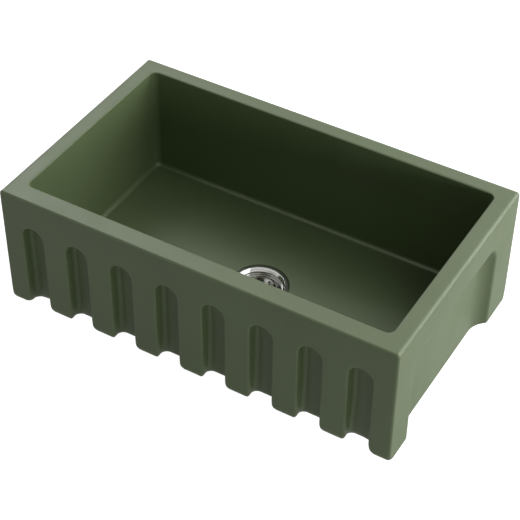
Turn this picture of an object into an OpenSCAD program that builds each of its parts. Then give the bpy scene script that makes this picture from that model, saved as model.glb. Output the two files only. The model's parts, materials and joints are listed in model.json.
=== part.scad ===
// Fluted apron front kitchen sink in glazed fireclay, with its basket strainer drain.
// Millimetres. The origin is the centre of the basin's underside, and the apron faces -Y.

/* [Basin] */
// Width of the basin, left to right
basin_w = 762; // [720:1:900]
// Depth of the basin, front to back
basin_d = 457.2; // [420:0.1:560]
// Height of the basin
basin_h = 254; // [215:1:320]
// Width of the rim along each side
side_rim = 34; // [26:0.5:45]
// Width of the rim along the apron front
front_rim = 36.5; // [28:0.5:45]
// Width of the rim along the back
back_rim = 31; // [20:0.5:45]
// Thickness of the bowl's floor
floor_t = 35; // [30:1:40]
// Plan radius of the bowl's upright corners
bowl_corner_r = 13; // [11:1:60]
// Radius where the bowl's walls meet its floor
bowl_floor_r = 9; // [5:1:10]
// Radius of the rim's inner edge
bowl_edge_r = 2; // [1:0.5:5]
// Radius of the four outer upright edges
outer_corner_r = 4; // [3:0.5:8]
// Radius of the rim's outer edge at the apron and at the back
rim_edge_r = 4; // [1:0.5:6]
// Radius of the rim's outer edge along each side
side_edge_r = 7.5; // [3:0.5:9]
// Radius of the base's side and back edges
base_edge_r = 3; // [1:0.5:6]
// Radius of the roll along the foot of the apron
base_roll_r = 20; // [10:1:22]

/* [Apron flutes] */
// Number of flutes across the apron
flute_count = 8; // [2:1:8]
// Distance from one flute to the next
flute_pitch = 91; // [86:0.1:93]
// Width of a flute
flute_w = 43; // [36:0.5:45]
// Depth of a flute
flute_depth = 22; // [12:0.5:23]
// Height of a flute's round head above the base
flute_top = 191.5; // [120:0.5:200]
// Radius where a flute's walls meet its back
flute_fillet_r = 8; // [3:0.5:12]
// Radius of a flute's edge on the apron's face
flute_edge_r = 3.5; // [1:0.5:5]

/* [Side recesses] */
// Width of the arched recess in each side
recess_w = 316; // [200:1:350]
// Height of a recess above the base
recess_top = 193; // [120:1:200]
// Distance from the basin's middle forward to the recess's middle
recess_shift = 6; // [0:0.5:10]
// Depth of a recess
recess_depth = 19; // [12:0.5:21]
// Radius of the cove round a recess
recess_cove_r = 45; // [25:1:60]
// Radius of a recess's edge on the side face
recess_edge_r = 5; // [1:0.5:8]

/* [Strainer body] */
// Outer diameter of the flange that shows in the bowl
flange_d = 107.5; // [104:0.5:114]
// Thickness of the flange
flange_t = 2; // [1.5:0.1:3]
// Height of the flange above the bowl's floor
flange_proud = 0.4; // [0.2:0.1:1]
// Diameter of the strainer's mouth
mouth_d = 92.6; // [90:0.1:94]
// Diameter at the foot of the flared mouth, where the basket's rim fits
throat_d = 86.4; // [84:0.1:87]
// Drop from the bowl's floor to the ledge that carries the basket
ledge_drop = 16; // [12:0.5:20]
// Inner diameter of the cup below the ledge
cup_d = 82; // [78:0.5:83]
// Depth of the cup below the bowl's floor
cup_depth = 61.5; // [60:0.5:64]
// Thickness of the cup's bottom and of the flared wall
cup_t = 3; // [2:0.1:4]
// Outer diameter of the cup's thread
cup_thread_d = 88.4; // [88:0.1:90]
// Diameter of the outlet in the cup's bottom
outlet_d = 37; // [34:0.5:37]
// Outer diameter of the outlet's thread
spigot_d = 46.8; // [44:0.1:50]
// Length of the outlet's thread below the cup
spigot_h = 24; // [22:0.5:30]

/* [Drain fastening] */
// Diameter of the drain hole in the basin
drain_hole_d = 92; // [91:0.5:94]
// Diameter of the recess round the drain hole in the underside
drain_recess_d = 124; // [122:1:140]
// Depth of the recess in the underside
drain_recess_h = 5; // [2:0.5:8]
// Thickness of the putty bed under the flange
putty_t = 1.2; // [0.6:0.1:2]
// Outer diameter of the rubber gasket under the basin
gasket_d = 114; // [108:1:120]
// Thickness of the rubber gasket
gasket_t = 3.2; // [2:0.1:5]
// Thickness of the fibre friction ring
friction_ring_t = 1.2; // [0.8:0.1:2]
// Outer diameter of the lock nut's flange
lock_nut_d = 112; // [106:1:118]
// Height of the lock nut
lock_nut_h = 10; // [8:0.5:13]
// Number of lugs on the lock nut
lock_nut_lugs = 6; // [4:1:8]

/* [Tailpiece] */
// Outer diameter of the tailpiece
tail_d = 38.1; // [38.1, 31.75]
// Wall thickness of the tailpiece
tail_wall = 1; // [0.7:0.1:1.5]
// Length of the tailpiece
tail_l = 101.6; // [60:0.1:150]
// Thickness of the flange at the tailpiece's head
tail_flange_t = 1.5; // [1:0.1:2]
// Thickness of the washer between the outlet and the tailpiece
tail_washer_t = 2; // [1.5:0.1:3]
// Width of the coupling nut across its flats
coupling_nut_w = 54; // [52:0.5:60]
// Height of the coupling nut
coupling_nut_h = 18; // [15:0.5:20]

/* [Basket] */
// Height of the basket below its rim
basket_h = 29; // [26:0.5:30]
// Thickness of the basket's sheet
basket_t = 1; // [0.7:0.1:1.5]
// Thickness of the basket's rolled rim
basket_rim_t = 1.8; // [1.2:0.1:2.5]
// Outer diameter of the basket's bottom
basket_bottom_d = 66; // [60:1:72]
// Number of holes round the basket's wall
wall_hole_count = 20; // [12:1:24]
// Diameter of a hole in the basket's wall
wall_hole_d = 6; // [3:0.5:7]
// Number of holes in the outer ring of the basket's bottom
outer_hole_count = 16; // [8:1:20]
// Number of holes in the inner ring of the basket's bottom
inner_hole_count = 10; // [6:1:12]
// Diameter of a hole in the basket's bottom
floor_hole_d = 4.5; // [2:0.5:5]

/* [Stopper] */
// Travel of the stopper from closed to open
stopper_travel = 9; // [5:0.5:10]
// Diameter of the stem
stem_d = 6.4; // [5:0.1:7]
// Diameter of the rubber seal
seal_d = 50; // [44:0.5:56]
// Thickness of the rubber seal
seal_t = 4.5; // [3:0.1:6]
// Diameter of the plate on top of the seal
seal_plate_d = 30; // [24:0.5:36]
// Thickness of the plate on top of the seal
seal_plate_t = 1.2; // [0.8:0.1:2]
// Diameter of the guide pin's nose
guide_pin_d = 8.3; // [7:0.1:9]
// Diameter of the knob
knob_d = 26; // [20:0.5:32]
// Height of the knob
knob_h = 25; // [20:0.5:28]

/* [Clearances] */
// Gap between the flange and the edge of its seat in the basin
seat_gap = 1; // [0.5:0.1:2]
// Radial gap between threads that are drawn plain
thread_gap = 0.1; // [0.05:0.05:0.3]
// Radial gap round the basket's rim
basket_gap = 0.5; // [0.3:0.1:0.8]
// Radial gap of the stem and the guide pin in their holes
running_gap = 0.05; // [0.01:0.01:0.1]
// Gap between the rubber seal and the cup's bottom, and above the bush
rest_gap = 0.3; // [0.2:0.1:0.5]

/* [Hidden] */
$fn = 96;

// Overrun that carries every cut past the face it opens
overrun = 1;

// Radii of the drain's round pieces
flange_r = flange_d / 2;
mouth_r = mouth_d / 2;
throat_r = throat_d / 2;
cup_r = cup_d / 2;
cup_thread_r = cup_thread_d / 2;
outlet_r = outlet_d / 2;
spigot_r = spigot_d / 2;
drain_hole_r = drain_hole_d / 2;
tail_r = tail_d / 2;
stem_r = stem_d / 2;
knob_r = knob_d / 2;
guide_pin_r = guide_pin_d / 2;

// Heights in the drain, from the flange down
flange_top_z = floor_t + flange_proud;
flange_under_z = flange_top_z - flange_t;
seat_z = flange_under_z - putty_t;
ledge_z = floor_t - ledge_drop;
cup_floor_z = floor_t - cup_depth;
cup_bottom_z = cup_floor_z - cup_t;
spigot_end_z = cup_bottom_z - spigot_h;
gasket_top_z = drain_recess_h;
gasket_under_z = gasket_top_z - gasket_t;
lock_nut_top_z = gasket_under_z - friction_ring_t;
tail_top_z = spigot_end_z - tail_washer_t;
tail_end_z = tail_top_z - tail_l;

// Coupling nut's lip, and the neck of the tailpiece that it closes on
coupling_lip_z = tail_top_z - tail_flange_t;
coupling_lip_t = coupling_nut_h / 7;
coupling_end_z = coupling_lip_z - coupling_lip_t;
tail_neck_r = tail_r + tail_wall / 2;
tail_neck_end_z = coupling_end_z - tail_wall;

// Seat and countersink of the drain hole
seat_r = flange_r + seat_gap;
countersink_r = drain_hole_r + 3.5 * seat_gap;
countersink_h = 12 * seat_gap;

// Rounded details of the strainer body
mouth_round_r = 3 * flange_t / 2;
cup_round = 3 * cup_t;
flare_wall = cup_t / 2;

// Basket
basket_rim_r = throat_r - basket_gap;
basket_top_r = cup_r - 2 * basket_gap;
basket_bottom_r = basket_bottom_d / 2;
basket_under_z = ledge_z - basket_h;
basket_floor_z = basket_under_z + basket_t;
basket_rim_top_z = ledge_z + basket_rim_t;
wall_hole_height_share = 0.56;
outer_ring_share = 0.79;
inner_ring_share = 0.53;

// Bush in the middle of the basket's bottom
bush_r = 2 * stem_r;
bush_collar_r = bush_r + stem_r;
bush_collar_h = stem_r;
bush_under_z = basket_under_z - basket_t;
bush_top_z = basket_floor_z + bush_collar_h;

// Stopper, drawn closed: the seal lies on the cup's bottom
seal_r = seal_d / 2;
seal_under_z = cup_floor_z + rest_gap;
seal_top_z = seal_under_z + seal_t;
plate_top_z = seal_top_z + seal_plate_t;
stem_tail_share = 0.8;
stem_tail_r = stem_tail_share * stem_r;
pin_head_r = 2 * stem_r;
pin_head_h = stem_r;
pin_shoulder_z = seal_under_z - pin_head_h;
knob_base_z = bush_top_z + rest_gap;
knob_top_z = knob_base_z + knob_h;

// Guide spider inside the outlet
spider_drop = pin_head_h + stem_r;
spider_t = cup_t;
spider_top_z = seal_under_z - spider_drop;
spider_under_z = spider_top_z - spider_t;
spider_hub_r = 2 * guide_pin_r;
spider_arms = 3;
pin_end_z = spider_under_z - stopper_travel - stem_r;
clip_t = 1;
clip_bite_share = 0.8;
clip_z = spider_under_z - stopper_travel / 2;
clip_r = guide_pin_r;
clip_groove_r = guide_pin_r - clip_bite_share * clip_t;

// Colours
glaze_colour = [0.42, 0.46, 0.37];
steel_colour = [0.80, 0.80, 0.78];
brass_colour = [0.76, 0.62, 0.36];
zinc_colour = [0.62, 0.63, 0.64];
rubber_colour = [0.10, 0.10, 0.10];
fibre_colour = [0.62, 0.48, 0.33];
putty_colour = [0.72, 0.70, 0.64];

// Removes a square corner at the origin, whose material lies towards +X and +Y
module corner_cut(r) {
    difference() {
        translate([-overrun, -overrun])
            square(r + overrun);
        translate([r, r])
            circle(r = r);
    }
}

// Rectangle with its own radius at each corner, from the lower left round to the upper left
module soft_rectangle(low, high, radii) {
    difference() {
        translate(low)
            square(high - low);
        translate(low)
            corner_cut(radii[0]);
        translate([high[0], low[1]])
            mirror([1, 0])
                corner_cut(radii[1]);
        translate(high)
            rotate(180)
                corner_cut(radii[2]);
        translate([low[0], high[1]])
            mirror([0, 1])
                corner_cut(radii[3]);
    }
}

// Run of a cove along the face: all of its radius, or less where the pocket is shallower
function cove_run(depth, cove_r) =
    cove_r <= depth ? cove_r : sqrt(cove_r * cove_r - (cove_r - depth) * (cove_r - depth));

// Half section of a pocket: X is the reach from the corner's centre, Y the depth.
// Its mouth opens round the edge's radius, tangent to the face and to the wall or the cove.
module pocket_profile(reach, depth, cove_r, edge_r) {
    run = cove_run(depth, cove_r);
    upright = cove_r <= depth;
    cove_centre = [reach - run, depth - cove_r];
    edge_drop = cove_r + edge_r - depth;
    edge_run = sqrt(pow(cove_r + edge_r, 2) - edge_drop * edge_drop);
    edge_centre = [upright ? reach + edge_r : cove_centre[0] + edge_run, edge_r];
    wall_share = cove_r / (cove_r + edge_r);
    touch = upright ? [reach, edge_r] : cove_centre + wall_share * (edge_centre - cove_centre);
    difference() {
        translate([0, -overrun])
            square([reach, depth + overrun]);
        translate(cove_centre)
            difference() {
                square([run + overrun, cove_r + overrun]);
                circle(r = cove_r);
            }
    }
    difference() {
        polygon([touch, edge_centre, [edge_centre[0], -overrun], [touch[0], -overrun]]);
        translate(edge_centre)
            circle(r = edge_r);
    }
}

// Pocket with two round corners at its head and an open foot.
// X is across, Y up towards the head, and Z is the depth into the material.
module half_pocket(span, rise, tail, depth, corner_r, cove_r, edge_r) {
    corner_x = span / 2 - corner_r;
    corner_y = rise - corner_r;
    for (side = [0, 1])
        mirror([side, 0, 0]) {
            translate([corner_x, corner_y, 0])
                rotate([90, 0, 0])
                    linear_extrude(corner_y + tail)
                        pocket_profile(corner_r, depth, cove_r, edge_r);
            translate([corner_x, corner_y, 0])
                rotate_extrude(angle = 90)
                    pocket_profile(corner_r, depth, cove_r, edge_r);
            if (corner_x > 0) {
                translate([0, corner_y, 0])
                    rotate([90, 0, 90])
                        linear_extrude(corner_x)
                            pocket_profile(corner_r, depth, cove_r, edge_r);
                translate([0, -tail, -overrun])
                    cube([corner_x, corner_y + tail, depth + overrun]);
            }
        }
}

// Bowl, cut down from the rim
module bowl() {
    bowl_w = basin_w - 2 * side_rim;
    bowl_d = basin_d - front_rim - back_rim;
    translate([0, (front_rim - back_rim) / 2, basin_h])
        for (half = [0, 1])
            mirror([0, half, 0])
                rotate([180, 0, 0])
                    half_pocket(bowl_w, bowl_d / 2, 0, basin_h - floor_t,
                        bowl_corner_r, bowl_floor_r, bowl_edge_r);
}

// One flute, drawn in the plane of the apron, with the base's roll carried round its foot
module flute() {
    straight = flute_depth - flute_fillet_r;
    half_back = flute_w / 2 - flute_fillet_r;
    half_pocket(flute_w, flute_top, overrun, flute_depth,
        flute_w / 2, flute_fillet_r, flute_edge_r);
    for (side = [0, 1])
        mirror([side, 0, 0]) {
            translate([flute_w / 2, 0, -overrun])
                linear_extrude(straight + overrun)
                    corner_cut(base_roll_r);
            translate([half_back, 0, straight])
                rotate([-90, -90, 0])
                    rotate_extrude(angle = 90)
                        translate([flute_fillet_r, 0])
                            corner_cut(base_roll_r);
        }
    translate([half_back, 0, flute_depth])
        rotate([0, -90, 0])
            linear_extrude(2 * half_back)
                corner_cut(base_roll_r);
}

// Drain hole with the seat for the strainer's flange and the recess for its gasket
module drain_hole() {
    translate([0, 0, -overrun])
        cylinder(d = drain_recess_d, h = drain_recess_h + overrun);
    translate([0, 0, -overrun])
        cylinder(r = drain_hole_r, h = floor_t + overrun);
    translate([0, 0, seat_z - countersink_h])
        cylinder(r1 = drain_hole_r, r2 = countersink_r, h = countersink_h);
    translate([0, 0, seat_z])
        cylinder(r = seat_r, h = floor_t - seat_z + overrun);
}

// Outer block of the basin: three rounded outlines crossed with one another
module basin_block() {
    intersection() {
        linear_extrude(basin_h)
            soft_rectangle([-basin_w / 2, -basin_d / 2], [basin_w / 2, basin_d / 2],
                [outer_corner_r, outer_corner_r, outer_corner_r, outer_corner_r]);
        translate([-basin_w / 2, 0, 0])
            rotate([90, 0, 90])
                linear_extrude(basin_w)
                    soft_rectangle([-basin_d / 2, 0], [basin_d / 2, basin_h],
                        [base_roll_r, base_edge_r, rim_edge_r, rim_edge_r]);
        translate([0, basin_d / 2, 0])
            rotate([90, 0, 0])
                linear_extrude(basin_d)
                    soft_rectangle([-basin_w / 2, 0], [basin_w / 2, basin_h],
                        [base_edge_r, base_edge_r, side_edge_r, side_edge_r]);
    }
}

module basin() {
    color(glaze_colour)
        difference() {
            basin_block();
            bowl();
            for (i = [0 : flute_count - 1])
                translate([(i - (flute_count - 1) / 2) * flute_pitch, -basin_d / 2, 0])
                    rotate([90, 0, 180])
                        flute();
            for (side = [-1, 1])
                translate([side * basin_w / 2, -recess_shift, 0])
                    rotate([90, 0, -90 * side])
                        half_pocket(recess_w, recess_top, overrun, recess_depth,
                            cove_run(recess_depth, recess_cove_r), recess_cove_r, recess_edge_r);
            drain_hole();
        }
}

// Flat or plain ring between two radii and two heights
module ring(inner_r, outer_r, low_z, high_z) {
    rotate_extrude()
        translate([inner_r, low_z])
            square([outer_r - inner_r, high_z - low_z]);
}

module flange_putty() {
    color(putty_colour)
        ring(countersink_r, flange_r, seat_z, flange_under_z);
}

// Flange, flared mouth, threaded cup and outlet in one turned piece
module strainer_body() {
    lip_r = flange_t / 2;
    color(steel_colour)
        rotate_extrude()
            difference() {
                union() {
                    polygon([
                        [outlet_r, spigot_end_z],
                        [spigot_r, spigot_end_z],
                        [spigot_r, cup_bottom_z],
                        [cup_thread_r - cup_round, cup_bottom_z],
                        [cup_thread_r, cup_bottom_z + cup_round],
                        [cup_thread_r, ledge_z],
                        [mouth_r + flare_wall, flange_under_z],
                        [flange_r - lip_r, flange_under_z],
                        [flange_r - lip_r, flange_top_z],
                        [mouth_r, flange_top_z],
                        [throat_r, ledge_z],
                        [cup_r, ledge_z],
                        [cup_r, cup_floor_z + cup_round],
                        [cup_r - cup_round, cup_floor_z],
                        [outlet_r, cup_floor_z]
                    ]);
                    translate([flange_r - lip_r, flange_top_z - lip_r])
                        circle(r = lip_r);
                }
                translate([mouth_r, flange_top_z])
                    mirror([0, 1])
                        corner_cut(mouth_round_r);
            }
}

// Three arms in the outlet that carry the guide for the stopper's pin
module guide_spider() {
    arm_w = guide_pin_r;
    color(steel_colour)
        translate([0, 0, spider_under_z])
            linear_extrude(spider_t)
                difference() {
                    union() {
                        circle(r = spider_hub_r);
                        intersection() {
                            circle(r = outlet_r);
                            for (i = [0 : spider_arms - 1])
                                rotate(i * 360 / spider_arms)
                                    translate([0, -arm_w / 2])
                                        square([outlet_r + overrun, arm_w]);
                        }
                    }
                    circle(r = guide_pin_r + running_gap);
                }
}

module sink_gasket() {
    color(rubber_colour)
        ring(cup_thread_r + thread_gap, gasket_d / 2, gasket_under_z, gasket_top_z);
}

module friction_ring() {
    color(fibre_colour)
        ring(cup_thread_r + thread_gap, gasket_d / 2, lock_nut_top_z, gasket_under_z);
}

// Ring nut with a flange that presses on the friction ring and lugs for the wrench
module lock_nut() {
    flange_h = lock_nut_h / 4;
    barrel_r = cup_thread_r + lock_nut_h / 2;
    lug_w = lock_nut_h;
    color(zinc_colour)
        difference() {
            translate([0, 0, lock_nut_top_z - lock_nut_h]) {
                translate([0, 0, lock_nut_h - flange_h])
                    cylinder(d = lock_nut_d, h = flange_h);
                cylinder(r = barrel_r, h = lock_nut_h);
                intersection() {
                    cylinder(d = lock_nut_d, h = lock_nut_h);
                    for (i = [0 : lock_nut_lugs - 1])
                        rotate(i * 360 / lock_nut_lugs)
                            translate([cup_thread_r, -lug_w / 2, 0])
                                cube([lock_nut_d / 2, lug_w, lock_nut_h]);
                }
            }
            translate([0, 0, lock_nut_top_z - lock_nut_h - overrun])
                cylinder(r = cup_thread_r + thread_gap, h = lock_nut_h + 2 * overrun);
        }
}

module tail_washer() {
    color(rubber_colour)
        ring(tail_r - tail_wall, spigot_r, tail_top_z, spigot_end_z);
}

// Plain tube with a flat flange and a stout neck at its head
module tailpiece() {
    bore_r = tail_r - tail_wall;
    color(steel_colour) {
        ring(bore_r, spigot_r, coupling_lip_z, tail_top_z);
        ring(bore_r, tail_neck_r, tail_neck_end_z, coupling_lip_z);
        ring(bore_r, tail_r, tail_end_z, tail_neck_end_z);
    }
}

// Six-sided nut that draws the tailpiece's flange up against the outlet
module coupling_nut() {
    color(brass_colour)
        difference() {
            translate([0, 0, coupling_end_z])
                cylinder(d = coupling_nut_w / cos(30), h = coupling_nut_h, $fn = 6);
            translate([0, 0, coupling_lip_z])
                cylinder(r = spigot_r + thread_gap, h = coupling_nut_h);
            translate([0, 0, coupling_end_z - overrun])
                cylinder(r = tail_neck_r + thread_gap, h = coupling_lip_t + 2 * overrun);
        }
}

// Ring of upright holes through the basket's bottom
module floor_holes(count, ring_r) {
    for (i = [0 : count - 1])
        rotate(i * 360 / count)
            translate([ring_r, 0, basket_under_z - overrun])
                cylinder(d = floor_hole_d, h = basket_t + 2 * overrun);
}

// Drawn cup with a rolled rim and its strainer holes
module basket_cup() {
    wall_hole_z = basket_under_z + wall_hole_height_share * basket_h;
    color(steel_colour)
        difference() {
            rotate_extrude()
                polygon([
                    [bush_r, basket_under_z],
                    [basket_bottom_r, basket_under_z],
                    [basket_top_r, ledge_z],
                    [basket_rim_r, ledge_z],
                    [basket_rim_r, basket_rim_top_z],
                    [basket_top_r - basket_t, basket_rim_top_z],
                    [basket_bottom_r - basket_t, basket_floor_z],
                    [bush_r, basket_floor_z]
                ]);
            for (i = [0 : wall_hole_count - 1])
                rotate(i * 360 / wall_hole_count)
                    translate([basket_bottom_r - wall_hole_d, 0, wall_hole_z])
                        rotate([0, 90, 0])
                            cylinder(d = wall_hole_d, h = basket_top_r);
            floor_holes(outer_hole_count, outer_ring_share * basket_bottom_r);
            floor_holes(inner_hole_count, inner_ring_share * basket_bottom_r);
        }
}

// Flanged bush that guides the stem through the basket's bottom
module basket_bush() {
    bore_r = stem_r + running_gap;
    color(brass_colour) {
        ring(bore_r, bush_collar_r, basket_floor_z, bush_top_z);
        ring(bore_r, bush_r, basket_under_z, basket_floor_z);
        ring(bore_r, bush_collar_r, bush_under_z, basket_under_z);
    }
}

// Turned stem, stepped down where the seal and its plate are clamped
module stem() {
    color(steel_colour) {
        translate([0, 0, plate_top_z])
            cylinder(r = stem_r, h = knob_top_z - knob_h / 3 - plate_top_z);
        translate([0, 0, pin_shoulder_z])
            cylinder(r = stem_tail_r, h = plate_top_z - pin_shoulder_z);
    }
}

// Mushroom knob, bored for the stem
module knob() {
    neck_r = 2 * stem_r;
    head_h = knob_h / 2;
    edge_r = knob_h / 8;
    color(steel_colour)
        difference() {
            rotate_extrude() {
                translate([0, knob_base_z])
                    square([neck_r, knob_h - head_h]);
                polygon([
                    [0, knob_top_z - head_h],
                    [neck_r, knob_top_z - head_h],
                    [knob_r, knob_top_z - 2 * edge_r],
                    [knob_r, knob_top_z - edge_r],
                    [knob_r - edge_r, knob_top_z],
                    [0, knob_top_z]
                ]);
                translate([knob_r - edge_r, knob_top_z - edge_r])
                    circle(r = edge_r);
            }
            translate([0, 0, knob_base_z - overrun])
                cylinder(r = stem_r, h = knob_h - knob_h / 3 + overrun);
        }
}

module seal_plate() {
    color(steel_colour)
        ring(stem_tail_r, seal_plate_d / 2, seal_top_z, plate_top_z);
}

module stopper_seal() {
    color(rubber_colour)
        ring(stem_tail_r, seal_r, seal_under_z, seal_top_z);
}

// Screwed pin under the seal: its nose runs in the spider and holds the spring clip
module guide_pin() {
    color(brass_colour)
        rotate_extrude()
            polygon([
                [stem_tail_r, seal_under_z],
                [pin_head_r, seal_under_z],
                [pin_head_r, pin_shoulder_z],
                [guide_pin_r, pin_shoulder_z],
                [guide_pin_r, clip_z],
                [clip_groove_r, clip_z],
                [clip_groove_r, clip_z - clip_t],
                [guide_pin_r, clip_z - clip_t],
                [guide_pin_r, pin_end_z + guide_pin_r / 2],
                [guide_pin_r / 2, pin_end_z],
                [0, pin_end_z],
                [0, pin_shoulder_z],
                [stem_tail_r, pin_shoulder_z]
            ]);
}

// Open spring ring in the guide pin's groove
module spring_clip() {
    color(steel_colour)
        translate([0, 0, clip_z - clip_t])
            rotate_extrude(angle = 310)
                translate([clip_groove_r, 0])
                    square([clip_r - clip_groove_r, clip_t]);
}

basin();
flange_putty();
strainer_body();
guide_spider();
sink_gasket();
friction_ring();
lock_nut();
tail_washer();
tailpiece();
coupling_nut();
basket_cup();
basket_bush();
stem();
knob();
seal_plate();
stopper_seal();
guide_pin();
spring_clip();
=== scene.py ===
"""Looks of a fluted apron front kitchen sink in glazed fireclay, with its basket strainer drain."""

import json
import math

import bmesh
import bpy
import numpy as np
from mathutils import Matrix, Vector


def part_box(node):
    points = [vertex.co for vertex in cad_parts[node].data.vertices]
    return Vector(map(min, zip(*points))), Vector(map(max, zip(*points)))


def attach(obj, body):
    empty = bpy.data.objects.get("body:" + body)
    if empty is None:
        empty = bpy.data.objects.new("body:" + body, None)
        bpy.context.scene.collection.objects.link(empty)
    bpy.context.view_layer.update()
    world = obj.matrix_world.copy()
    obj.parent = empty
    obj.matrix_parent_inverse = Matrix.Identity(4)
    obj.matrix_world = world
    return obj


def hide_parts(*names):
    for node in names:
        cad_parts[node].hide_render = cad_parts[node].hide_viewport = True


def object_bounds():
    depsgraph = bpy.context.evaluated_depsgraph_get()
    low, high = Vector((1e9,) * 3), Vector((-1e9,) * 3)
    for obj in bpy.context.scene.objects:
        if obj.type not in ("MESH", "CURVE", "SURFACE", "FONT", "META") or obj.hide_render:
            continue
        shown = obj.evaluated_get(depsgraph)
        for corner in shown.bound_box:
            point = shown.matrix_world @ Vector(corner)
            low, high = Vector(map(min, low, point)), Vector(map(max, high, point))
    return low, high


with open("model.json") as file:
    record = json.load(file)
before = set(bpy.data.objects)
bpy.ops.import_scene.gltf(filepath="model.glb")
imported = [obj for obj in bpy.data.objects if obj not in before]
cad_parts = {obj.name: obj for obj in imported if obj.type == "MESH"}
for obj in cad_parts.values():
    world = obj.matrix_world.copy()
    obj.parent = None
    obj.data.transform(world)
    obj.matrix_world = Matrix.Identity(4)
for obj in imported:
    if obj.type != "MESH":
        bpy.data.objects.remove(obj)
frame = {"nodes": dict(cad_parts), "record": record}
cad_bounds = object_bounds()

MM = 0.001
LOW, HIGH = (np.array(corner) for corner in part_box("basin"))

# Basin: the solid's outer box, with the rims and the rounded edges that the photograph shows
HALF_W = HIGH[0]
FRONT_Y = LOW[1]
BACK_Y = HIGH[1]
TOP_Z = HIGH[2]
SIDE_RIM = 32 * MM
FRONT_RIM = 36.5 * MM
BACK_RIM = 31 * MM
FLOOR_T = 35 * MM
BOWL_CORNER = 13 * MM
BOWL_FILLET = 9 * MM
BOWL_EDGE = 2 * MM
RIM_EDGE = 4 * MM
SIDE_EDGE = 8.5 * MM
BACK_TOP_EDGE = 6 * MM
UPRIGHT_EDGE = 4.5 * MM
UPRIGHT_FOOT_EDGE = 9 * MM
BACK_EDGE = 4 * MM
BASE_ROLL = 22 * MM
END_ROLL = 17.5 * MM
EDGE_BLEND = 12 * MM

# Flutes of the apron
FLUTES = 8
PITCH = 91 * MM
FLUTE_W = 43 * MM
FLUTE_DEPTH = 22 * MM
FLUTE_TOP = 191.5 * MM
FLUTE_FILLET = 8 * MM
FLUTE_EDGE = 3.5 * MM
FOOT_EDGE = 11 * MM
END_FOOT_EDGE = 20 * MM
FOOT_H = 34 * MM

# Recess in each side
RECESS_W = 316 * MM
RECESS_TOP = 193 * MM
RECESS_SHIFT = 6 * MM
RECESS_DEPTH = 19 * MM
RECESS_COVE = 45 * MM
RECESS_EDGE = 3 * MM
RECESS_RUN = math.sqrt(RECESS_COVE ** 2 - (RECESS_COVE - RECESS_DEPTH) ** 2)

# Drain hole, on the basin's own axis
DRAIN_SQUARE = 70 * MM
SEAT_R = 54.75 * MM
SEAT_Z = 32.2 * MM
SEAT_EDGE = 1.4 * MM
COUNTERSINK_R = 49.5 * MM
COUNTERSINK_H = 12 * MM
HOLE_R = 46 * MM
UNDER_RECESS_R = 62 * MM
UNDER_RECESS_H = 5 * MM
UNDER_EDGE = 1 * MM

# Cells of the grid that the basin's skin is drawn on, from fine at edges to coarse on flats
EDGE_CELL = 1.4 * MM
CURVE_CELL = 2.4 * MM
ARCH_CELL = 3.6 * MM
FLAT_CELL = 10 * MM
MARGIN = 2.8 * MM

# Part of a normal along an axis over which its face counts as flat, or as level
FLAT_SHARE = 0.9999999
LEVEL_SHARE = 0.999

# Pulls that bring the skin's points onto the field, and the least squared slope that they use
PULLS = 4
LEAST_SLOPE_SQUARED = 0.2

# Edges of turned and drilled metal that stay sharp
SHARP_ANGLE = math.radians(28)

# Noise values at which a ramp of tone or gloss starts and ends
NOISE_LOW = 0.3
NOISE_HIGH = 0.7

# Base colours
WHITE = (1, 1, 1)
GLAZE = (0.116, 0.157, 0.072)

# Turned metals by slot: name, base colour, roughness, then depth and spacing of the fine rings
TURNED_METALS = {
    "polished_steel": ("polished_steel", (0.49, 0.49, 0.47), 0.1, 0.05 * MM, 1.2 * MM),
    "brushed_steel": ("brushed_steel", (0.52, 0.52, 0.5), 0.13, 0.03 * MM, 0.8 * MM),
    "brass": ("turned_brass", (0.6, 0.52, 0.36), 0.26, 0.06 * MM, 0.8 * MM),
}

# Matt materials by slot: name, base colour, roughness, then scale of the clouds and their spread of tone
MATT_MATERIALS = {
    "zinc": ("cast_zinc", (0.42, 0.43, 0.44), 0.42, 400.0, 0.12),
    "rubber": ("black_rubber", (0.022, 0.022, 0.023), 0.62, 500.0, 0.2),
    "fibre": ("pressed_fibre", (0.36, 0.24, 0.13), 0.85, 700.0, 0.3),
    "putty": ("drain_putty", (0.48, 0.45, 0.38), 0.8, 300.0, 0.1),
}

# Camera, fitted to the basin's edges in the photograph: lens and sensor in millimetres, place in metres
LENS = 107.69
SENSOR_W = 36.0
CAMERA_REACH = 50.0
CAMERA_PLACE = (1.02606, -1.76109, 1.94451)
CAMERA_RIGHT = (0.86042, 0.50951, 0.00842)
CAMERA_UP = (-0.34773, 0.575, 0.74058)

# Softboxes: azimuth and elevation in degrees, radiance, then width, height and distance in metres
SOFTBOXES = (
    ("side_softbox", 20, 40, 2.3, 2.5, 2.5, 2.9),
    ("rear_side_softbox", 45, 14, 4.1, 1.9, 1.9, 2.9),
    ("left_softbox", 142, 42, 3.8, 2.4, 2.4, 5.3),
    ("back_softbox", 90, 45, 1.7, 1.3, 1.3, 2.9),
    ("front_side_softbox", -28, 3.5, 5.4, 5.0, 1.4, 7.0),
    ("low_left_softbox", -115, 0, 1.4, 0.8, 0.5, 2.0),
)
LAMP_AIM = (0, 0, 0.15)

# World: its light on the object, and its strength as seen by the camera or in a mirror
AMBIENT = 0.045
BACKDROP = 1.0

# Studio floor: half its side, its gap under the object, its finish, and its glow to camera and mirrors
STAGE_HALF = 8.0
STAGE_GAP = 1 * MM
STAGE_GREY = 0.5
STAGE_ROUGHNESS = 0.9
CAMERA_GLOW = 0.97
MIRROR_GLOW = 0.3


def rounded(a, b, radius):
    """Crossing of two forms, each negative inside, with its edge rounded by the radius."""
    corner = np.hypot(np.maximum(a + radius, 0), np.maximum(b + radius, 0))
    return np.minimum(-radius, np.maximum(a, b)) + corner


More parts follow.
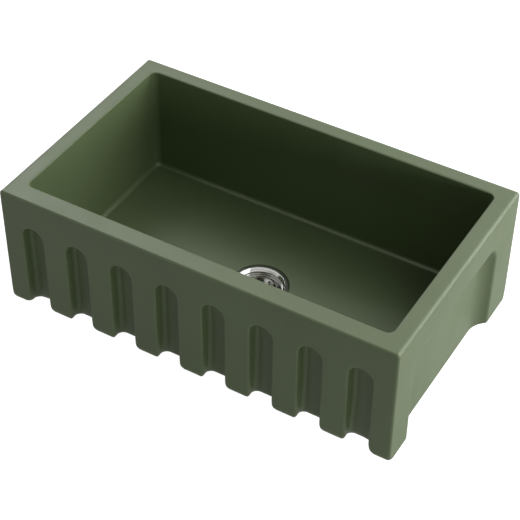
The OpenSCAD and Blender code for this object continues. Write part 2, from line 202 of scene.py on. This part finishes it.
def soft_box(reach_a, reach_b, radius):
    """Distance to a rounded outline, from how far a point lies past its corner centres."""
    outside = np.hypot(np.maximum(reach_a, 0), np.maximum(reach_b, 0))
    return outside + np.minimum(np.maximum(reach_a, reach_b), 0) - radius


def foot_share(z):
    """How far a height is down in the foot, from none to one at the base."""
    return np.clip((FOOT_H - z) / FOOT_H, 0, 1) ** 2


def end_share(x):
    """How far a place is out on the ribs at the basin's ends, from none to one."""
    return np.clip((x - (FLUTES - 1) / 2 * PITCH) / (FLUTE_W / 2), 0, 1)


def fluted_face(x, y, z):
    """Everything behind the apron's face, less the flutes, whose edges soften towards the foot."""
    lane = (np.clip(np.round(x / PITCH - 0.5), 0, FLUTES / 2 - 1) + 0.5) * PITCH
    head_z = FLUTE_TOP - FLUTE_W / 2
    outline = np.hypot(x - lane, np.maximum(z - head_z, 0)) - FLUTE_W / 2
    flute = rounded(outline, y - (FRONT_Y + FLUTE_DEPTH), FLUTE_FILLET)
    foot_edge = FOOT_EDGE + (END_FOOT_EDGE - FOOT_EDGE) * end_share(x)
    return rounded(FRONT_Y - y, -flute, FLUTE_EDGE + (foot_edge - FLUTE_EDGE) * foot_share(z))


def recessed_side(x, y, z):
    """Everything inside a side face, less its arched recess."""
    arch = soft_box(
        np.abs(y + RECESS_SHIFT) - (RECESS_W / 2 - RECESS_RUN), z - (RECESS_TOP - RECESS_RUN), RECESS_COVE)
    recess = rounded(arch, HALF_W - RECESS_DEPTH - x, RECESS_COVE)
    return rounded(x - HALF_W, -recess, RECESS_EDGE)


def bowl_space(x, y, z):
    """The bowl's hollow."""
    middle_y = (FRONT_Y + FRONT_RIM + BACK_Y - BACK_RIM) / 2
    half_d = (BACK_Y - BACK_RIM - FRONT_Y - FRONT_RIM) / 2
    plan = soft_box(
        x - (HALF_W - SIDE_RIM - BOWL_CORNER), np.abs(y - middle_y) - (half_d - BOWL_CORNER),
        BOWL_CORNER)
    return rounded(plan, FLOOR_T - z, BOWL_FILLET)


def basin_field(x, y, z):
    """Form of the basin without its drain hole: negative inside the fireclay."""
    x = np.abs(x)
    solid = rounded(fluted_face(x, y, z), -z, BASE_ROLL + (END_ROLL - BASE_ROLL) * end_share(x))
    solid = rounded(solid, y - BACK_Y, BACK_EDGE)
    upright = UPRIGHT_EDGE + (UPRIGHT_FOOT_EDGE - UPRIGHT_EDGE) * foot_share(z)
    solid = rounded(solid, recessed_side(x, y, z), upright)
    past = x - HALF_W - np.maximum(FRONT_Y - y, y - BACK_Y)
    along_side = np.clip(0.5 + past / EDGE_BLEND, 0, 1)
    top_edge = np.where(y > 0, BACK_TOP_EDGE, RIM_EDGE)
    solid = rounded(solid, z - TOP_Z, top_edge + (SIDE_EDGE - top_edge) * along_side)
    return rounded(solid, -bowl_space(x, y, z), BOWL_EDGE)


def gradient(points):
    """Direction in which the field grows, for an array of points."""
    step = 0.02 * MM
    slopes = []
    for axis in range(3):
        shift = np.zeros(3)
        shift[axis] = step
        ahead = basin_field(*(points + shift).T)
        behind = basin_field(*(points - shift).T)
        slopes.append((ahead - behind) / (2 * step))
    return np.stack(slopes, axis=1)


def graded(stops):
    """Grid lines from (place, cell size up to the next place) pairs."""
    slack = 1e-6
    lines = [stops[0][0]]
    for (start, cell), (end, _) in zip(stops, stops[1:]):
        count = max(1, math.ceil((end - start) / cell - slack))
        lines.extend(start + (end - start) * (i + 1) / count for i in range(count))
    return np.array(lines)


def across_lines():
    """Grid lines from side to side: fine at the flutes' walls and at the sides."""
    outer = 5 * MM
    inner = 9 * MM
    stops = [(0, FLAT_CELL)]
    for i in range(FLUTES // 2):
        centre = (i + 0.5) * PITCH
        stops.append((centre - FLUTE_W / 2 - outer, EDGE_CELL))
        stops.append((centre - FLUTE_W / 2 + inner, CURVE_CELL))
        stops.append((centre + FLUTE_W / 2 - inner, EDGE_CELL))
        stops.append((centre + FLUTE_W / 2 + outer, FLAT_CELL))
    stops[-1] = (stops[-1][0], EDGE_CELL)
    stops.append((HALF_W - SIDE_RIM + BOWL_EDGE, ARCH_CELL))
    stops.append((HALF_W - RECESS_DEPTH - EDGE_CELL, EDGE_CELL))
    stops.append((HALF_W + MARGIN, EDGE_CELL))
    half = graded(stops)
    return np.concatenate([-half[:0:-1], half])


def depth_lines():
    """Grid lines from front to back."""
    bowl_front = FRONT_Y + FRONT_RIM
    bowl_back = BACK_Y - BACK_RIM
    arch = RECESS_W / 2 + RECESS_EDGE - RECESS_SHIFT
    return graded([
        (FRONT_Y - MARGIN, EDGE_CELL), (FRONT_Y + FLUTE_DEPTH + EDGE_CELL, CURVE_CELL),
        (bowl_front - BOWL_EDGE, EDGE_CELL), (bowl_front + BOWL_EDGE, CURVE_CELL),
        (bowl_front + BOWL_CORNER, ARCH_CELL),
        (RECESS_RUN - RECESS_W / 2 - RECESS_SHIFT, FLAT_CELL),
        (-DRAIN_SQUARE, FLAT_CELL), (DRAIN_SQUARE, FLAT_CELL),
        (RECESS_W / 2 - RECESS_RUN - RECESS_SHIFT, ARCH_CELL), (arch, ARCH_CELL),
        (bowl_back - BOWL_CORNER, CURVE_CELL), (bowl_back - BOWL_EDGE, EDGE_CELL),
        (bowl_back + BOWL_EDGE, FLAT_CELL), (BACK_Y - BACK_EDGE - EDGE_CELL, EDGE_CELL),
        (BACK_Y + MARGIN, EDGE_CELL)])


def height_lines():
    """Grid lines from the base up."""
    return graded([
        (-MARGIN, EDGE_CELL), (BASE_ROLL + EDGE_CELL, ARCH_CELL),
        (FLOOR_T - EDGE_CELL, CURVE_CELL), (FLOOR_T + BOWL_FILLET + EDGE_CELL, FLAT_CELL),
        (RECESS_TOP - RECESS_RUN, CURVE_CELL), (RECESS_TOP + RECESS_EDGE, FLAT_CELL),
        (TOP_Z - SIDE_EDGE - EDGE_CELL, EDGE_CELL), (TOP_Z + MARGIN, EDGE_CELL)])


def skin_of_field(lines):
    """Points and four-sided faces on the field's surface: one point in each cell that it crosses."""
    value = basin_field(*np.meshgrid(*lines, indexing="ij"))
    inside = value < 0
    shape = np.array(value.shape) - 1
    total = np.zeros(tuple(shape) + (3,))
    hits = np.zeros(tuple(shape))
    faces = []
    number = np.arange(shape.prod()).reshape(tuple(shape))
    for axis in range(3):
        b = (axis + 1) % 3
        c = (axis + 2) % 3
        near = [slice(None)] * 3
        far = [slice(None)] * 3
        near[axis] = slice(0, -1)
        far[axis] = slice(1, None)
        near = tuple(near)
        far = tuple(far)
        crossed = np.argwhere(inside[near] != inside[far])
        i = crossed.T
        ahead = crossed.copy()
        ahead[:, axis] += 1
        v0 = value[tuple(i)]
        v1 = value[tuple(ahead.T)]
        share = v0 / (v0 - v1)
        places = np.stack([lines[k][crossed[:, k]] for k in range(3)], axis=1)
        places[:, axis] += share * (lines[axis][ahead[:, axis]] - lines[axis][crossed[:, axis]])
        ring = []
        for db, dc in ((-1, -1), (0, -1), (0, 0), (-1, 0)):
            cell = crossed.copy()
            cell[:, b] += db
            cell[:, c] += dc
            np.add.at(total, tuple(cell.T), places)
            np.add.at(hits, tuple(cell.T), 1)
            ring.append(number[tuple(cell.T)])
        quads = np.stack(ring, axis=1)
        quads[v0 > 0] = quads[v0 > 0][:, ::-1]
        faces.append(quads)
    faces = np.concatenate(faces)
    used, faces = np.unique(faces, return_inverse=True)
    faces = faces.reshape(-1, 4)
    points = total.reshape(-1, 3)[used] / hits.reshape(-1)[used][:, None]
    for _ in range(PULLS):
        slope = gradient(points)
        size = np.maximum((slope ** 2).sum(axis=1), LEAST_SLOPE_SQUARED)
        points = points - slope * (basin_field(*points.T) / size)[:, None]
    return points, faces


def drain_profile():
    """Radius, height and facing of the drain hole's wall, from the bowl's floor down to the base."""
    rows = []

    def arc(centre_r, centre_z, radius, start, end, count, inward=1):
        for k in range(count + 1):
            angle = math.radians(start + (end - start) * k / count)
            rows.append((
                centre_r + radius * math.cos(angle), centre_z + radius * math.sin(angle),
                inward * math.cos(angle), inward * math.sin(angle)))

    seat_fillet = 0.6 * MM
    arc(SEAT_R + SEAT_EDGE, FLOOR_T - SEAT_EDGE, SEAT_EDGE, 90, 180, 4)
    arc(SEAT_R - seat_fillet, SEAT_Z + seat_fillet, seat_fillet, 0, -90, 3, inward=-1)
    slant = math.atan2(COUNTERSINK_R - HOLE_R, COUNTERSINK_H)
    slope = (-math.cos(slant), math.sin(slant))
    rows.append((COUNTERSINK_R, SEAT_Z, 0, 1))
    rows.append((COUNTERSINK_R - UNDER_EDGE / 4, SEAT_Z - UNDER_EDGE / 2, *slope))
    rows.append((HOLE_R, SEAT_Z - COUNTERSINK_H, *slope))
    rows.append((HOLE_R, SEAT_Z - COUNTERSINK_H - UNDER_EDGE, -1, 0))
    arc(HOLE_R + UNDER_EDGE, UNDER_RECESS_H + UNDER_EDGE, UNDER_EDGE, 180, 270, 3)
    arc(UNDER_RECESS_R - UNDER_EDGE, UNDER_RECESS_H - UNDER_EDGE, UNDER_EDGE, 90, 0, 3, inward=-1)
    arc(UNDER_RECESS_R + UNDER_EDGE, UNDER_EDGE, UNDER_EDGE, 180, 270, 3)
    return rows


def open_drain(points, normals, faces):
    """Takes the skin out of a square round the drain and puts the drain hole's wall in."""
    level = np.abs(normals[:, 2]) > LEVEL_SHARE
    low = points[:, 2] < FLOOR_T + UNDER_EDGE
    in_square = level & low & (np.abs(points[:, :2]).max(axis=1) < DRAIN_SQUARE)
    gone = in_square[faces].all(axis=1)
    edge_points = np.intersect1d(faces[gone], faces[~gone])
    faces = faces[~gone]
    # The floor's loop of points lies straight above the underside's, so both have the same angles
    loops = []
    for is_floor in (True, False):
        loop = edge_points[(points[edge_points, 2] > FLOOR_T / 2) == is_floor]
        angle = np.arctan2(points[loop, 1], points[loop, 0])
        order = np.argsort(angle)
        loops.append(loop[order])
        angles = angle[order]
    ring_points = []
    ring_normals = []
    rings = [loops[0]]
    start = len(points)
    cosines = np.cos(angles)
    sines = np.sin(angles)
    for r, z, face_r, face_z in drain_profile():
        ring_points.append(np.stack([r * cosines, r * sines, np.full(len(angles), z)], axis=1))
        ring_normals.append(
            np.stack([face_r * cosines, face_r * sines, np.full(len(angles), face_z)], axis=1))
        rings.append(np.arange(start, start + len(angles)))
        start += len(angles)
    rings.append(loops[1])
    wall = []
    for upper, lower in zip(rings, rings[1:]):
        wall.append(np.stack([upper, np.roll(upper, -1), np.roll(lower, -1), lower], axis=1))
    points = np.concatenate([points] + ring_points)
    normals = np.concatenate([normals] + ring_normals)
    faces = np.concatenate([faces, np.concatenate(wall)])
    used, faces = np.unique(faces, return_inverse=True)
    return points[used], normals[used], faces.reshape(-1, 4)


def merge_flats(mesh, points, normals, faces):
    """Joins the cells of each flat face, quarter by quarter, so that only curves keep fine ones."""
    flat = (np.abs(normals).max(axis=1) > FLAT_SHARE)[faces].all(axis=1)
    middle = points[faces].mean(axis=1)
    quarter = (middle[:, 0] > 0) * 2 + (middle[:, 1] > 0)
    work = bmesh.new()
    work.from_mesh(mesh)
    work.faces.ensure_lookup_table()
    cells = [[work.faces[i] for i in np.flatnonzero(flat & (quarter == q))] for q in range(4)]
    for group in cells:
        bmesh.ops.dissolve_faces(work, faces=group, use_verts=True)
    bmesh.ops.triangulate(work, faces=[face for face in work.faces if len(face.verts) > 4])
    work.to_mesh(mesh)
    work.free()


def basin_mesh():
    """The whole basin as one closed skin with the field's own normals."""
    points, faces = skin_of_field([across_lines(), depth_lines(), height_lines()])
    normals = gradient(points)
    normals /= np.linalg.norm(normals, axis=1)[:, None]
    points, normals, faces = open_drain(points, normals, faces)
    points = np.clip(points, LOW, HIGH)
    mesh = bpy.data.meshes.new("basin_skin")
    mesh.from_pydata(points.tolist(), [], faces.tolist())
    facing = mesh.attributes.new("facing", "FLOAT_VECTOR", "POINT")
    facing.data.foreach_set("vector", normals.ravel())
    merge_flats(mesh, points, normals, faces)
    mesh.polygons.foreach_set("use_smooth", [True] * len(mesh.polygons))
    kept = np.empty(len(mesh.vertices) * 3)
    mesh.attributes["facing"].data.foreach_get("vector", kept)
    mesh.normals_split_custom_set_from_vertices(kept.reshape(-1, 3).tolist())
    mesh.attributes.remove(mesh.attributes["facing"])
    return mesh


def new_object(name, mesh):
    """An object of that mesh, in the scene."""
    piece = bpy.data.objects.new(name, mesh)
    bpy.context.scene.collection.objects.link(piece)
    return piece


def node_adder(tree):
    """A function that adds a node to the tree, with values or other nodes' outputs as its inputs."""
    def add(kind, inputs=None, **settings):
        node = tree.nodes.new(kind)
        for key, value in settings.items():
            setattr(node, key, value)
        for key, value in (inputs or {}).items():
            if isinstance(value, bpy.types.NodeSocket):
                tree.links.new(value, node.inputs[key])
            else:
                node.inputs[key].default_value = value
        return node

    return add


def new_material(name):
    """A plain material, its Principled shader, and the tools that add nodes and link them."""
    material = bpy.data.materials.new(name)
    material.use_nodes = True
    tree = material.node_tree
    shader = next(node for node in tree.nodes if node.type == "BSDF_PRINCIPLED")
    return material, shader, node_adder(tree), tree.links.new


def ramp_of(add, source, stops):
    """A colour ramp over a noise value, from (place, colour) pairs."""
    node = add("ShaderNodeValToRGB", {"Fac": source})
    elements = node.color_ramp.elements
    while len(elements) < len(stops):
        elements.new(0.5)
    for element, (place, colour) in zip(elements, stops):
        element.position = place
        element.color = (*colour, 1)
    return node.outputs["Color"]


def scaled(colour, share):
    """That colour, each part of it times the share."""
    return tuple(share * c for c in colour)


def glaze_material():
    """Satin olive glaze: slight drift of tone, faint grain and a skin that is not quite even."""
    tone_spread = 0.06
    speck_spread = 0.05
    speck_low = 0.35
    speck_high = 0.65
    material, shader, add, link = new_material("olive_glaze")
    place = add("ShaderNodeTexCoord").outputs["Object"]
    drift = add("ShaderNodeTexNoise", {"Vector": place, "Scale": 5.0, "Detail": 3.0})
    tone = ramp_of(add, drift.outputs["Fac"], [
        (NOISE_LOW, scaled(GLAZE, 1 - tone_spread)), (NOISE_HIGH, scaled(GLAZE, 1 + tone_spread))])
    grain = add("ShaderNodeTexNoise", {"Vector": place, "Scale": 900.0, "Detail": 2.0})
    speck = ramp_of(add, grain.outputs["Fac"], [
        (speck_low, scaled(WHITE, 1 - speck_spread)), (speck_high, scaled(WHITE, 1 + speck_spread))])
    mix = add("ShaderNodeMix", {"Factor": 1.0, "A": tone, "B": speck},
              data_type="RGBA", blend_type="MULTIPLY")
    link(mix.outputs["Result"], shader.inputs["Base Color"])
    wear = add("ShaderNodeTexNoise", {"Vector": place, "Scale": 14.0, "Detail": 4.0})
    rough = add("ShaderNodeMapRange", {
        "Value": wear.outputs["Fac"], "From Min": NOISE_LOW, "From Max": NOISE_HIGH,
        "To Min": 0.39, "To Max": 0.46})
    link(rough.outputs["Result"], shader.inputs["Roughness"])
    waves = add("ShaderNodeTexNoise", {"Vector": place, "Scale": 16.0, "Detail": 1.0})
    wide = add("ShaderNodeBump", {"Height": waves.outputs["Fac"], "Strength": 0.08,
                                  "Distance": 1.0 * MM})
    peel = add("ShaderNodeTexNoise", {"Vector": place, "Scale": 260.0, "Detail": 2.0})
    fine = add("ShaderNodeBump", {"Height": peel.outputs["Fac"], "Strength": 0.08,
                                  "Distance": 0.2 * MM, "Normal": wide.outputs["Normal"]})
    link(fine.outputs["Normal"], shader.inputs["Normal"])
    shader.inputs["IOR"].default_value = 1.5
    return material


def turned_metal(name, colour, roughness, groove, spacing):
    """Metal turned about the drain's axis: fine rings of slightly uneven gloss."""
    tone_spread = 0.1
    gloss_spread = 0.3
    material, shader, add, link = new_material(name)
    place = add("ShaderNodeTexCoord").outputs["Object"]
    flat = add("ShaderNodeVectorMath", {0: place, 1: (1, 1, 0)}, operation="MULTIPLY")
    radius = add("ShaderNodeVectorMath", {0: flat.outputs["Vector"]}, operation="LENGTH")
    height = add("ShaderNodeSeparateXYZ", {"Vector": place})
    track = add("ShaderNodeCombineXYZ", {"X": radius.outputs["Value"],
                                         "Y": height.outputs["Z"]})
    rings = add("ShaderNodeTexNoise", {"Vector": track.outputs["Vector"],
                                       "Scale": 1 / spacing, "Detail": 3.0})
    cloud = add("ShaderNodeTexNoise", {"Vector": place, "Scale": 60.0, "Detail": 3.0})
    tone = ramp_of(add, cloud.outputs["Fac"], [
        (NOISE_LOW, scaled(colour, 1 - tone_spread)), (NOISE_HIGH, colour)])
    link(tone, shader.inputs["Base Color"])
    gloss = add("ShaderNodeMapRange", {
        "Value": rings.outputs["Fac"], "From Min": NOISE_LOW, "From Max": NOISE_HIGH,
        "To Min": (1 - gloss_spread) * roughness, "To Max": (1 + gloss_spread) * roughness})
    link(gloss.outputs["Result"], shader.inputs["Roughness"])
    bump = add("ShaderNodeBump", {"Height": rings.outputs["Fac"], "Strength": 0.5,
                                  "Distance": groove})
    link(bump.outputs["Normal"], shader.inputs["Normal"])
    shader.inputs["Metallic"].default_value = 1.0
    return material


def matt_material(name, colour, roughness, scale, spread):
    """Cast zinc, rubber, fibre or putty: a matt body, clouded in tone, with a fine uneven skin."""
    gloss_spread = 0.15
    material, shader, add, link = new_material(name)
    place = add("ShaderNodeTexCoord").outputs["Object"]
    cloud = add("ShaderNodeTexNoise", {"Vector": place, "Scale": scale, "Detail": 5.0})
    tone = ramp_of(add, cloud.outputs["Fac"], [
        (NOISE_LOW, scaled(colour, 1 - spread)), (NOISE_HIGH, scaled(colour, 1 + spread))])
    link(tone, shader.inputs["Base Color"])
    gloss = add("ShaderNodeMapRange", {
        "Value": cloud.outputs["Fac"], "To Min": (1 - gloss_spread) * roughness,
        "To Max": min(1.0, (1 + gloss_spread) * roughness)})
    link(gloss.outputs["Result"], shader.inputs["Roughness"])
    bump = add("ShaderNodeBump", {"Height": cloud.outputs["Fac"], "Strength": 0.4,
                                  "Distance": 0.2 * MM})
    link(bump.outputs["Normal"], shader.inputs["Normal"])
    return material


def arc_rows(centre_r, centre_z, radius, start, end, count):
    """Radius and height of the points along an arc of a profile. Angles in degrees."""
    rows = []
    for k in range(count + 1):
        angle = math.radians(start + (end - start) * k / count)
        rows.append((centre_r + radius * math.cos(angle), centre_z + radius * math.sin(angle)))
    return rows


def turned_mesh(name, profile):
    """A closed ring of that profile round the drain's axis, smooth but for its sharp edges."""
    sides = 144
    count = len(profile)
    points = []
    for i in range(sides):
        angle = 2 * math.pi * i / sides
        points.extend((r * math.cos(angle), r * math.sin(angle), z) for r, z in profile)
    faces = []
    for i in range(sides):
        here = i * count
        ahead = (i + 1) % sides * count
        for k in range(count):
            m = (k + 1) % count
            faces.append((here + k, ahead + k, ahead + m, here + m))
    mesh = bpy.data.meshes.new(name)
    mesh.from_pydata(points, [], faces)
    mesh.polygons.foreach_set("use_smooth", [True] * len(faces))
    mesh.set_sharp_from_angle(angle=SHARP_ANGLE)
    return mesh


def strainer_profile():
    """Outline of the strainer: flange, dished lip, ribbed mouth, groove, ledge and cup."""
    top_z = 35.4 * MM
    flange_r = 53.75 * MM
    lip_r = 1 * MM
    mouth_r = 46.3 * MM
    throat_r = 43.2 * MM
    ledge_z = 19 * MM
    cup_r = 41 * MM
    cup_round = 9 * MM
    floor_z = -26.5 * MM
    outlet_r = 18.5 * MM
    spigot_r = 23.4 * MM
    spigot_z = -53.5 * MM
    wall_t = 3 * MM
    thread_r = 44.2 * MM
    edge = 0.4 * MM
    rib = 0.45 * MM
    ribs = 5
    groove_h = 1.9 * MM
    groove_depth = 2.1 * MM
    dish_z = top_z - (mouth_r - throat_r - rib)
    rows = [(outlet_r, spigot_z + edge), (outlet_r + edge, spigot_z)]
    rows += arc_rows(spigot_r - edge, spigot_z + edge, edge, -90, 0, 3)
    rows += [(spigot_r, floor_z - wall_t)]
    rows += arc_rows(thread_r - cup_round, floor_z - wall_t + cup_round, cup_round, -90, 0, 10)
    rows += [(thread_r, ledge_z), (mouth_r + wall_t / 2, top_z - 2 * lip_r)]
    rows += arc_rows(flange_r - lip_r, top_z - lip_r, lip_r, -90, 90, 10)
    rows += arc_rows(mouth_r + edge / 2, top_z - edge, edge, 90, 135, 3)
    rows += [(throat_r + rib, dish_z)]
    for k in range(ribs):
        z = dish_z - 2 * rib * k
        rows += [(throat_r + rib, z - rib), (throat_r, z - 2 * rib)]
    groove_z = dish_z - 2 * rib * ribs - edge
    rows += [(throat_r, groove_z), (throat_r + groove_depth, groove_z)]
    rows += [(throat_r + groove_depth, groove_z - groove_h), (throat_r, groove_z - groove_h)]
    rows += [(throat_r, ledge_z + edge), (throat_r - edge, ledge_z), (cup_r + edge, ledge_z)]
    rows += [(cup_r, ledge_z - edge)]
    rows += arc_rows(cup_r - cup_round, floor_z + cup_round, cup_round, 0, -90, 10)
    rows += [(outlet_r + edge, floor_z), (outlet_r, floor_z - edge)]
    return rows


def pierced_basket(finish):
    """The CAD's basket cup with the upper row of strainer holes that shows in the photograph."""
    node = frame["nodes"]["basket_cup"]
    mesh = node.data.copy()
    mesh.transform(node.matrix_world)
    piece = new_object("basket_pierced", mesh)
    count = 18
    hole_r = 2.5 * MM
    hole_z = 12.5 * MM
    inner_r = 30 * MM
    outer_r = 45 * MM
    reach = Matrix.Translation(((inner_r + outer_r) / 2, 0, hole_z))
    lying = Matrix.Rotation(math.pi / 2, 4, "Y")
    cutter = bmesh.new()
    for i in range(count):
        angle = 2 * math.pi * (i + 0.5) / count
        bmesh.ops.create_cone(
            cutter, cap_ends=True, segments=24, radius1=hole_r, radius2=hole_r,
            depth=outer_r - inner_r, matrix=Matrix.Rotation(angle, 4, "Z") @ reach @ lying)
    drill_mesh = bpy.data.meshes.new("drill")
    cutter.to_mesh(drill_mesh)
    cutter.free()
    drill = new_object("drill", drill_mesh)
    cut = piece.modifiers.new("holes", "BOOLEAN")
    cut.operation = "DIFFERENCE"
    cut.solver = "EXACT"
    cut.object = drill
    graph = bpy.context.evaluated_depsgraph_get()
    holed = bpy.data.meshes.new_from_object(piece.evaluated_get(graph))
    piece.modifiers.clear()
    piece.data = holed
    bpy.data.objects.remove(drill)
    holed.polygons.foreach_set("use_smooth", [True] * len(holed.polygons))
    holed.set_sharp_from_angle(angle=SHARP_ANGLE)
    holed.materials.clear()
    holed.materials.append(finish)
    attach(piece, "basket")
    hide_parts("basket_cup")


def make_strainer(finish):
    """The strainer's body with the rings of its mouth, which the CAD leaves plain."""
    piece = new_object("strainer_turned", turned_mesh("strainer_skin", strainer_profile()))
    piece.data.materials.append(finish)
    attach(piece, "base")
    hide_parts("strainer_body")


def drain_finishes():
    """The finishes of the drain's pieces, by the record's material slots."""
    made = {slot: turned_metal(*row) for slot, row in TURNED_METALS.items()}
    made.update({slot: matt_material(*row) for slot, row in MATT_MATERIALS.items()})
    return made


def dress_nodes(finishes):
    """Gives the CAD's nodes in the drain their finish, by the slot that the record names."""
    for part in frame["record"]["subparts"]:
        finish = finishes.get(part["material_slot"])
        if finish is None:
            continue
        materials = frame["nodes"][part["node"]].data.materials
        materials.clear()
        materials.append(finish)


def make_basin():
    """The glazed basin, which stands for the CAD's plain one."""
    piece = new_object("basin_glazed", basin_mesh())
    piece.data.materials.append(glaze_material())
    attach(piece, "base")
    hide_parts("basin")


def make_camera():
    """The photograph's viewpoint."""
    data = bpy.data.cameras.new("camera")
    data.lens = LENS
    data.sensor_width = SENSOR_W
    data.clip_end = CAMERA_REACH
    camera = bpy.data.objects.new("camera", data)
    bpy.context.scene.collection.objects.link(camera)
    right = Vector(CAMERA_RIGHT).normalized()
    up = Vector(CAMERA_UP).normalized()
    back = right.cross(up).normalized()
    turn = Matrix((right, back.cross(right), back)).transposed().to_4x4()
    camera.matrix_world = Matrix.Translation(CAMERA_PLACE) @ turn
    bpy.context.scene.camera = camera


def make_softbox(name, azimuth, elevation, radiance, width, height, distance):
    """A softbox turned to the basin, whose face has that radiance."""
    data = bpy.data.lights.new(name, "AREA")
    data.shape = "RECTANGLE"
    data.size = width
    data.size_y = height
    data.energy = radiance * math.pi * width * height
    lamp = bpy.data.objects.new(name, data)
    bpy.context.scene.collection.objects.link(lamp)
    turn = math.radians(azimuth)
    rise = math.radians(elevation)
    way = Vector((math.cos(turn) * math.cos(rise), math.sin(turn) * math.cos(rise), math.sin(rise)))
    lamp.location = Vector(LAMP_AIM) + distance * way
    lamp.rotation_euler = (-way).to_track_quat("-Z", "Y").to_euler()


def seen_in_mirror(add, path):
    """One where a ray comes by way of a glossy or a clear surface, from the light path's outputs."""
    either = add("ShaderNodeMath", {0: path["Is Glossy Ray"], 1: path["Is Transmission Ray"]},
                 operation="MAXIMUM")
    return either.outputs["Value"]


def make_world():
    """A faint even light, and a backdrop that the camera and mirrors see as white."""
    world = bpy.data.worlds.new("studio")
    bpy.context.scene.world = world
    world.use_nodes = True
    world.node_tree.nodes.clear()
    add = node_adder(world.node_tree)
    path = add("ShaderNodeLightPath").outputs
    seen = add("ShaderNodeMath", {0: path["Is Camera Ray"], 1: seen_in_mirror(add, path)},
               operation="MAXIMUM")
    level = add("ShaderNodeMapRange", {"Value": seen.outputs["Value"], "To Min": AMBIENT,
                                       "To Max": BACKDROP})
    sky = add("ShaderNodeBackground", {"Color": (*WHITE, 1), "Strength": level.outputs["Result"]})
    add("ShaderNodeOutputWorld", {"Surface": sky.outputs["Background"]})


def make_floor():
    """A pale floor under the drain's end, which the camera sees as white outside the shadow."""
    z = cad_bounds[0][2] - STAGE_GAP
    corners = [(x * STAGE_HALF, y * STAGE_HALF, z) for x, y in ((-1, -1), (1, -1), (1, 1), (-1, 1))]
    mesh = bpy.data.meshes.new("floor")
    mesh.from_pydata(corners, [], [(0, 1, 2, 3)])
    floor = new_object("floor", mesh)
    material, shader, add, link = new_material("pale_floor")
    shader.inputs["Base Color"].default_value = (*scaled(WHITE, STAGE_GREY), 1)
    shader.inputs["Roughness"].default_value = STAGE_ROUGHNESS
    shader.inputs["Specular IOR Level"].default_value = 0.0
    shader.inputs["Emission Color"].default_value = (*WHITE, 1)
    path = add("ShaderNodeLightPath").outputs
    faint = add("ShaderNodeMath", {0: seen_in_mirror(add, path), 1: MIRROR_GLOW}, operation="MULTIPLY")
    glow = add("ShaderNodeMath", {0: path["Is Camera Ray"], 1: CAMERA_GLOW, 2: faint.outputs["Value"]},
               operation="MULTIPLY_ADD")
    link(glow.outputs["Value"], shader.inputs["Emission Strength"])
    floor.data.materials.append(material)


bpy.context.scene.view_settings.view_transform = "Standard"
make_camera()
for softbox in SOFTBOXES:
    make_softbox(*softbox)
make_world()
make_floor()
make_basin()
finishes = drain_finishes()
make_strainer(finishes["polished_steel"])
pierced_basket(finishes["brushed_steel"])
dress_nodes(finishes)
